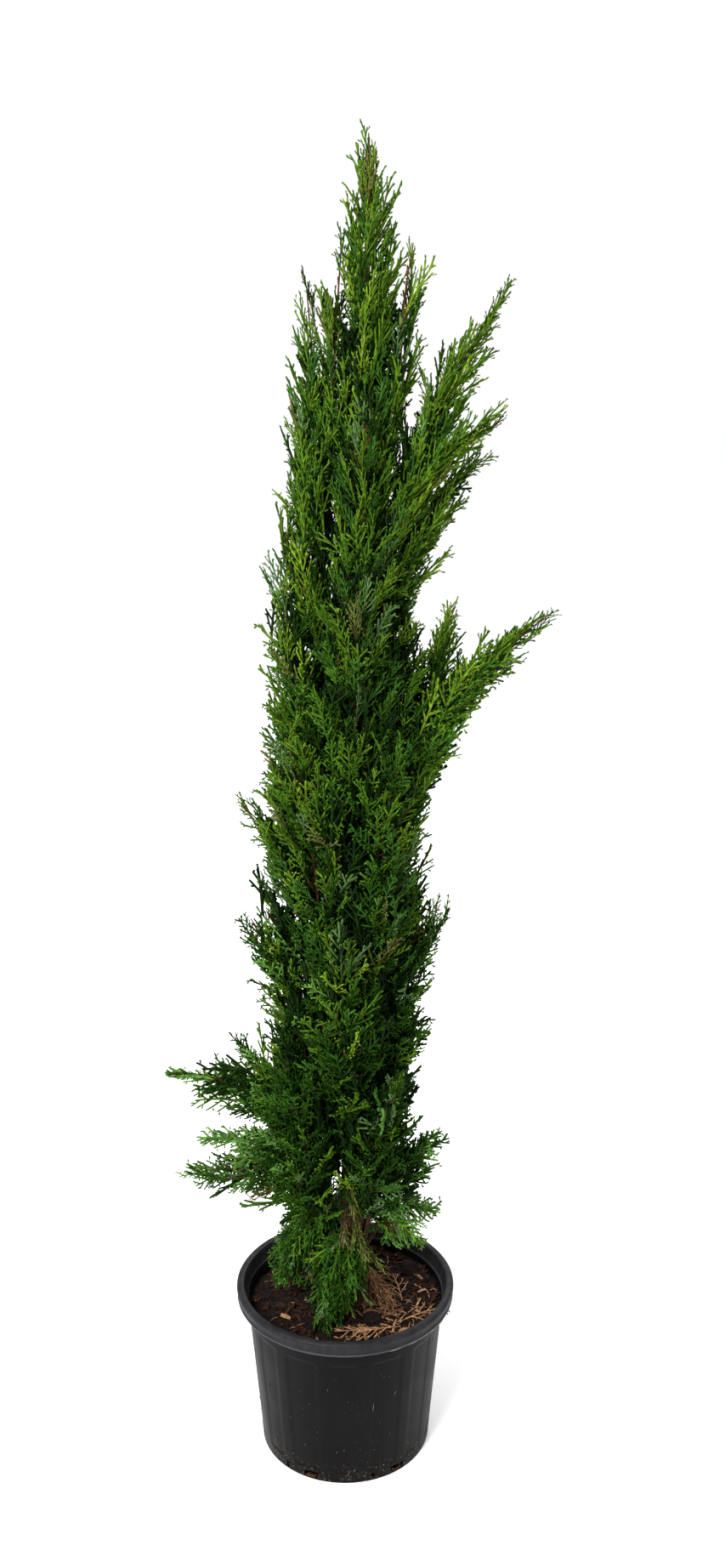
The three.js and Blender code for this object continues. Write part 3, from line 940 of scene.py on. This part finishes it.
def openness(point, facing):
    """The share of rays from just off a surface that leave the crown without meeting another mass."""
    side = square_to(facing)
    over = facing.cross(side)
    leans = [facing * 3, side, over, -side, -over, UP * 0.5 + facing * 0.5]
    start = point + facing * 0.003
    free = sum(CROWN.ray_cast(start, unit(facing + lean))[0] is None for lean in leans)
    return free / len(leans)


def surface_points(name, spacing):
    """Points spread evenly over a mass, none nearer to another than spacing, with the way each one faces."""
    corners = np.array(corners_of(name), float)
    sides = np.array([tuple(p.vertices)[:3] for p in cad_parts[name].data.polygons])
    a, b, c = corners[sides[:, 0]], corners[sides[:, 1]], corners[sides[:, 2]]
    crosses = np.cross(b - a, c - a)
    areas = np.linalg.norm(crosses, axis=1) / 2
    tries = int(areas.sum() / spacing**2 * 6) + 20
    picked = rng.choice(len(areas), tries, p=areas / areas.sum())
    u, v = np.sqrt(rng.random((tries, 1))), rng.random((tries, 1))
    points = a[picked] * (1 - u) + b[picked] * (u * (1 - v)) + c[picked] * (u * v)
    kept = []
    for i, point in enumerate(points):
        if not kept or np.min(np.sum((points[kept] - point) ** 2, axis=1)) > spacing**2:
            kept.append(i)
    return [(Vector(points[i]), unit(Vector(crosses[picked[i]]))) for i in kept]


def mass_spine(name, style, tree):
    """The line up the middle of a mass, from its foot, or where it is nearest the trunk, to its tip."""
    corners = corners_of(name)
    reach = {"fan": lambda c: off_axis(c)[0], "skirt": lambda c: -c.z, "dry": lambda c: -c.z}
    key = reach.get(style, lambda c: c.z)
    foot, tip = min(corners, key=key), max(corners, key=key)
    axis = unit(tip - foot)
    length = (tip - foot).length
    low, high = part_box(name)
    piles = [[] for _ in range(6)]
    for point in rng.uniform(tuple(low), tuple(high), (1700, 3)):
        point = Vector(point)
        if is_inside(tree, point):
            share = (point - foot).dot(axis) / length
            piles[int(min(max(share, 0.0), 0.999) * len(piles))].append(point)
    middles = [sum(pile, Vector()) / len(pile) for pile in piles if len(pile) > 5]
    return curve_through([*middles, tip], 5)


def limb_start(first, style):
    """Where the limb of a mass leaves the wood: a bough's end close by, or the trunk below it."""
    near = [end for end in BOUGH_ENDS if (end - first).length < 0.09 and end.z < first.z + 0.04]
    if near:
        return min(near, key=lambda end: (end - first).length)
    out, _ = off_axis(first)
    rise = out * (0.35 if style in ("fan", "skirt", "dry") else 1.5)
    return trunk_at(max(first.z - rise, TRUNK_FOOT + 0.02))[0]


def spray_kind(style, height):
    """Long upright cords at the top, tufts in the middle, flat fans at the foot."""
    if style == "dry":
        return "dry"
    if style in ("fan", "skirt"):
        return "fan"
    corded = smoothstep(0.9, 1.35, height)
    fanned = 1.0 - smoothstep(0.45, 0.9, height)
    draw = rng.random()
    if draw < corded:
        return "cord"
    return "fan" if draw < corded + fanned * 0.8 else "tuft"


def spray_tint(name, point, light, share):
    """Deals a tint by chance. Its odds change with the place, the light and how far out the spray is."""
    odds = {tint: float(start) for tint, (_, start) in TINTS.items()}
    # Neighbours lean to the same tint.
    clump = noise.noise(point * 8.0)
    odds["green_warm"] += 70 * max(clump, 0)
    odds["green_cool"] += 90 * max(-clump, 0)
    odds["blue"] += 50 * max(noise.noise(point * 6.0 + Vector((5, 0, 0))) - 0.1, 0)
    # Some masses have a tint of their own.
    if name in ("fan_left_front", "fan_front_right"):
        odds["fresh"] += 300
    if name.startswith("skirt"):
        odds["green_cool"] += 90
        odds["blue"] += 35
        odds["green_warm"] *= 0.3
    # Olive at the front of the neck, and at the tip of the left spire.
    middle = trunk_at(point.z)[0]
    if point.z < 0.46 and abs(point.x - middle.x) < 0.035 and point.y < 0:
        odds["olive"] += 30
    if name == "left_spire" and point.z > 1.5:
        odds["olive"] += 160
    # Brighter tints in a band at the left, towards the top, and on the plumes at the right are painted
    # highlights.
    left = smoothstep(0.03, -0.04, point.x)
    band = left * smoothstep(0.52, 0.66, point.z) * smoothstep(0.95, 0.78, point.z)
    top = smoothstep(1.0, 1.5, point.z)
    odds["lime"] += 20 * band + 9 * top
    odds["fresh"] += 20 * band
    odds["green_warm"] += 35 * top
    if name.startswith("right_") and point.z > 0.9:
        odds["lime"] += 10
        odds["green_warm"] += 35
    if point.z > 1.0:
        odds["blue"] *= 0.35
    # The deep tint in the shade and low down is painted shade. Fresh at the tips of the fans; fresh and blue
    # on sunlit low sprays are painted light.
    low_down = smoothstep(0.95, 0.45, point.z)
    is_fan = name.startswith("fan")
    odds["deep"] += 150 * smoothstep(0.5, 0.1, light) + (50 if is_fan else 110) * low_down
    sunlit = low_down * smoothstep(0.5, 0.8, share) * smoothstep(0.5, 0.8, light)
    odds["fresh"] += 30 * sunlit + (90 if is_fan and share > 0.45 else 0)
    odds["blue"] += 55 * sunlit
    chances = np.array(list(odds.values()))
    return list(odds)[int(rng.choice(len(odds), p=chances / chances.sum()))]


def grow_branch(base, axis, length, turn_up):
    """A branch on a limb. It turns by turn_up as it grows. Returns its points."""
    path = [base + axis * length * t + turn_up * (length * t * t) for t in np.linspace(0, 1, 5)]
    add_twig(path, 0.0009 + 0.005 * length, 0.0007)
    return path


def within_reach(point):
    """Moves a spray's end inside the room there is round the CAD model, and inside the pot's mouth."""
    low, high = cad_box
    for k in range(3):
        point[k] = min(max(point[k], low[k] - ROOM_ROUND), high[k] + ROOM_ROUND)
    out = hypot(point.x, point.y)
    if point.z < 0.25 and out > POT_MOUTH:
        point.x, point.y = point.x * POT_MOUTH / out, point.y * POT_MOUTH / out
    point.z = max(point.z, TRUNK_FOOT + 0.004)
    return point


def is_thinned(style, end, light, clump):
    """Whether chance leaves a spray out, for shade, a bare spot, the neck or the airy top."""
    if rng.random() > KEPT_AT[0] + (KEPT_AT[1] - KEPT_AT[0]) * smoothstep(0.05, 0.4, light):
        return True
    if style == "body" and clump < BARE_SPOTS.clump and rng.random() < BARE_SPOTS.share:
        return True
    neck = end.z < NECK.top and abs(end.x - NECK.middle) < NECK.half and end.y < 0.0
    if style == "body" and neck and rng.random() < NECK.thinning:
        return True
    return style == "plume" and rng.random() < TOP_THINNING * smoothstep(1.38, 1.5, end.z)


def grow_spray(name, style, nodes, end, facing, spine):
    """One spray that ends just past the surface, on a twig from the nearest limb or branch."""
    rule = STYLES[style]
    light = openness(end, facing)
    clump = noise.noise(end * 26.0)
    if is_thinned(style, end, light, clump):
        return
    share = nearest_share(spine, end)
    _, way = along(spine, share)
    outward = square_to(way, facing + jitter(0.25))
    if style == "fan":
        level = unit(way.cross(UP))
        hand = 1 if level.dot(facing) + spread(-0.3, 0.3) > 0 else -1
        outward = unit(level * hand + outward * 0.35)
        facing = unit(facing + level * hand * 0.9)
    low_flare = 22 * (1 - smoothstep(0.55, 1.0, end.z)) if style in ("body", "tuft") else 0
    angle = radians(spread(*rule.out) + low_flare)
    axis = unit(way * cos(angle) + outward * sin(angle))
    poke = spread(*rule.poke) + 0.014 * clump
    if style != "fan":
        poke -= 0.010 * smoothstep(0.75, 0.95, share)
    end = within_reach(end + axis * max(poke, -0.01) + facing * poke * 0.4)
    length = spread(*rule.length)
    base = end - axis * length
    if not is_inside(CROWN, base) and style in ("body", "tuft", "plume"):
        length = max(length * 0.7, rule.length[0] * 0.8)
        base = end - axis * length
    gaps = nodes - np.array(tuple(base))
    ahead = np.maximum(gaps @ np.array(tuple(axis)), 0)
    root = Vector(nodes[int(np.argmin(np.linalg.norm(gaps, axis=1) + 2.0 * ahead))])
    if (root - base).length < 0.014 or (root - base).dot(axis) > 0:
        base = root
        length = min(max((end - base).length, 0.5 * length), 1.2 * length)
        axis = unit(end - base)
    else:
        base = root.lerp(base, 0.6)
        length = min(max((end - base).length, 0.7 * length), 1.3 * length)
        axis = unit(end - base)
        knee = root.lerp(base, 0.55) - axis * (0.1 * (base - root).length)
        add_twig([root, knee, base, base + axis * 0.012], 0.0009, 0.0007, 3)
    heap = dry_heap if style == "dry" else leaf_heaps[spray_tint(name, end, light, share)]
    face = unit(facing + jitter(0.42))
    kind = spray_kind(style, end.z)
    curl = spread(-0.16, 0.16)
    place_spray(kind, heap, base, axis, face, length, curl, rule.sag + spread(-0.05, 0.05))


def grow_mass(name):
    """A limb up the middle of the mass, branches on it by the golden angle, and sprays over its surface."""
    style = mass_style(name)
    rule = STYLES[style]
    tree = joined_tree([name])
    spine = mass_spine(name, style, tree)
    start = limb_start(spine[0], style)
    limb = [*curve_through([start, start.lerp(spine[0], 0.5) + UP * -0.006, spine[0]], 3)[:-1], *spine]
    length = sum((b - a).length for a, b in zip(spine, spine[1:]))
    limb_share = 0.93 if style == "plume" else 0.8
    limb = limb[: len(limb) - int(len(spine) * (1 - limb_share))]
    add_twig(limb, min(0.0012 + 0.0035 * length, 0.0024), 0.0008, 5)
    nodes = [*limb]
    at, turn = 0.01, any_turn()
    while at < length * limb_share:
        point, way = along(spine, at / length)
        angle = radians(spread(*rule.angle))
        side = turned(square_to(way, UP if style == "fan" else Vector((1, 0, 0))), way, turn)
        axis = unit(way * cos(angle) + side * sin(angle))
        reach = min(room(tree, point, axis), 0.14) * spread(*rule.reach)
        if reach > 0.008:
            nodes += grow_branch(point, axis, reach, square_to(axis, way) * 0.15)[1:]
        at += rule.gap * spread(0.8, 1.2)
        turn += GOLDEN_TURN
    nodes = np.array(nodes, float)
    for end, facing in surface_points(name, rule.spacing):
        grow_spray(name, style, nodes, end, facing, spine)
    tip, way = spine[-1], unit(spine[-1] - spine[-4])
    scatter, past = (0.26, 0.012) if style == "fan" else (0.14, 0.0)
    for _ in range(rule.tips):
        lean = unit(way + jitter(scatter))
        grow_spray(name, style, nodes, tip + lean * past, lean, spine)


INNER = Values(spacing=0.028, below=(0.014, 0.032), length=(0.046, 0.068), foot=0.40, top=1.5)


def fill_inside(name):
    """Coarse dark sprays under the surface of a mass, where little light reaches. Their near-black colour is
    painted shade.
    """
    style = mass_style(name)
    if style in ("skirt", "dry"):
        return
    spine = mass_spine(name, style, joined_tree([name]))
    for end, facing in surface_points(name, INNER.spacing):
        _, way = along(spine, nearest_share(spine, end))
        covered = openness(end, facing) < 0.2
        end = end - facing * (spread(0.001, 0.010) if covered else spread(*INNER.below))
        if end.z > INNER.top or end.z < INNER.foot:
            continue
        axis = unit(way + facing * spread(0.0, 0.3) + jitter(0.12))
        length = spread(*INNER.length)
        if not is_inside(CROWN, end):
            continue
        if not is_inside(CROWN, end - axis * length):
            length *= 0.6
        if is_inside(CROWN, end - axis * length):
            place_spray("inner", inner_heap, end - axis * length, axis, facing, length)


def fill_core(count, foot, top, out_from):
    """Coarse dark sprays round the trunk between two heights. out_from is how near and far they stand."""
    for _ in range(count):
        z, turn = spread(foot, top), any_turn()
        out = polar(1, turn)
        narrow = 1 - 0.75 * smoothstep(0.95, 1.5, z)
        base = trunk_at(z)[0] + out * spread(*out_from) * narrow
        axis = unit(UP + out * spread(0.0, 0.35))
        base.z = z - 0.03
        facing = unit(out + jitter(0.4))
        place_spray("inner", inner_heap, base, axis, facing, spread(0.055, 0.078))


for mass in [*LEAF_NODES, *DRY_NODES]:
    grow_mass(mass)
    fill_inside(mass)

# A dark core round the trunk keeps daylight out of the body of the crown. Its near-black colour is painted
# shade.
fill_core(640, 0.40, 1.50, (0.006, 0.062))

# Limp olive and faded cords hang from the stem where the crown begins, mostly at the front.
LIMP = Values(count=15, turn=290, wander=36, heights=(0.31, 0.43), length=(0.038, 0.062), curl=0.4, sag=0.35)
for k in range(LIMP.count):
    out = polar(1, radians(rng.normal(LIMP.turn, LIMP.wander)))
    middle, radius = trunk_at(spread(*LIMP.heights))
    axis = unit(out + UP * spread(-0.9, 0.1))
    heap = leaf_heaps["faded" if k % 3 == 0 else "olive"]
    length = spread(*LIMP.length)
    curl = spread(-LIMP.curl, LIMP.curl)
    place_spray("cord", heap, middle + out * radius, axis, out, length, curl, LIMP.sag)

# Fallen dry sprays lie on the soil to the right of the stem, and a few elsewhere.
FALLEN = Values(count=9, in_spot=6, wander=0.028, lift=0.004)
FALLEN_SPRAY = Values(tilt=(-0.05, 0.16), length=(0.042, 0.066), reach=0.045, sag=0.05)
for k in range(FALLEN.count):
    base = on_soil(FALLEN.lift, LITTER_SPOT if k < FALLEN.in_spot else None, FALLEN.wander)
    heading = any_turn()
    axis = unit(polar(1, heading, spread(*FALLEN_SPRAY.tilt)))
    tip_x, tip_y = base.x + axis.x * FALLEN_SPRAY.reach, base.y + axis.y * FALLEN_SPRAY.reach
    if hypot(tip_x, tip_y) < SOIL_EDGE - 0.006:
        length = spread(*FALLEN_SPRAY.length)
        face = unit(UP + axis * 0.2)
        place_spray("litter", litter_heap, base, axis, face, length, 0.0, FALLEN_SPRAY.sag)

# The belly of the crown has the widest gaps between its masses, so its core is filled a second time.
fill_core(190, 0.54, 0.94, (0.026, 0.068))

# ---------- Pieces of foliage ----------

PIECE_LIMIT = 190_000  # triangles


def heap_pieces(name, heap, material, slot, replaced=()):
    """One piece, or several when there are too many triangles for one."""
    count = max(1, ceil(heap.size() / PIECE_LIMIT))
    share = ceil(len(heap.faces) / count)
    first = 0
    for k in range(count):
        verts, faces = heap.verts[k * share : (k + 1) * share], heap.faces[k * share : (k + 1) * share]
        label = name if count == 1 else f"{name}_{k + 1}"
        mesh_piece(label, np.concatenate(verts), np.concatenate(faces) - first, material, slot, replaced)
        first += sum(len(v) for v in verts)


for tint, heap in leaf_heaps.items():
    heap_pieces(f"foliage_{tint}", heap, leaf_material(f"leaf_{tint}", TINTS[tint][0]), "foliage", LEAF_NODES)
heap_pieces("foliage_inner", inner_heap, leaf_material("leaf_inner", INNER_COLOUR), "foliage")
heap_pieces("foliage_dry", dry_heap, leaf_material("leaf_dry", DRY_COLOUR, 0.8), "dry_foliage", DRY_NODES)
heap_pieces("fallen_sprays", litter_heap, leaf_material("leaf_fallen", LITTER_COLOUR, 0.8), "soil")
heap_pieces("twigs", twig_heap, twig_bark, "bark")

# ---------- Camera, floor and light ----------

camera_data = bpy.data.cameras.new("camera")
camera_data.lens = 35.14
camera_data.sensor_width = 36
camera = new_object("camera", camera_data)
camera.location = (0.024, -1.854, 1.476)
camera.rotation_euler = (radians(90 - 15.8), 0, 0)
scene.camera = camera


def floor():
    mesh = bpy.data.meshes.new("floor")
    shape = bmesh.new()
    bmesh.ops.create_circle(shape, cap_ends=True, radius=30, segments=96)
    shape.to_mesh(mesh)
    shape.free()
    piece = new_object("floor", mesh)
    piece.location.z = -0.0005
    look = Look("floor_white", 0.9, 0.1)
    look.shader.inputs["Base Color"].default_value = (0.95, 0.95, 0.95, 1)
    mesh.materials.append(look.material)


def area_light(name, place, target, size, power):
    data = bpy.data.lights.new(name, "AREA")
    data.shape = "DISK"
    data.size = size
    data.energy = power
    light = new_object(name, data)
    light.location = place
    light.rotation_euler = (Vector(target) - Vector(place)).to_track_quat("-Z", "Y").to_euler()


floor()
area_light("key", (-1.9, -3.2, 3.6), (0, 0, 0.9), 2.2, 380)
area_light("back", (0.6, 3.2, 3.2), (0, 0, 1.0), 2.0, 60)
world = bpy.data.worlds.new("studio")
world.use_nodes = True
world.node_tree.nodes["Background"].inputs["Color"].default_value = (1, 1, 1, 1)
world.node_tree.nodes["Background"].inputs["Strength"].default_value = 1.05
scene.world = world
scene.view_settings.view_transform = "Standard"
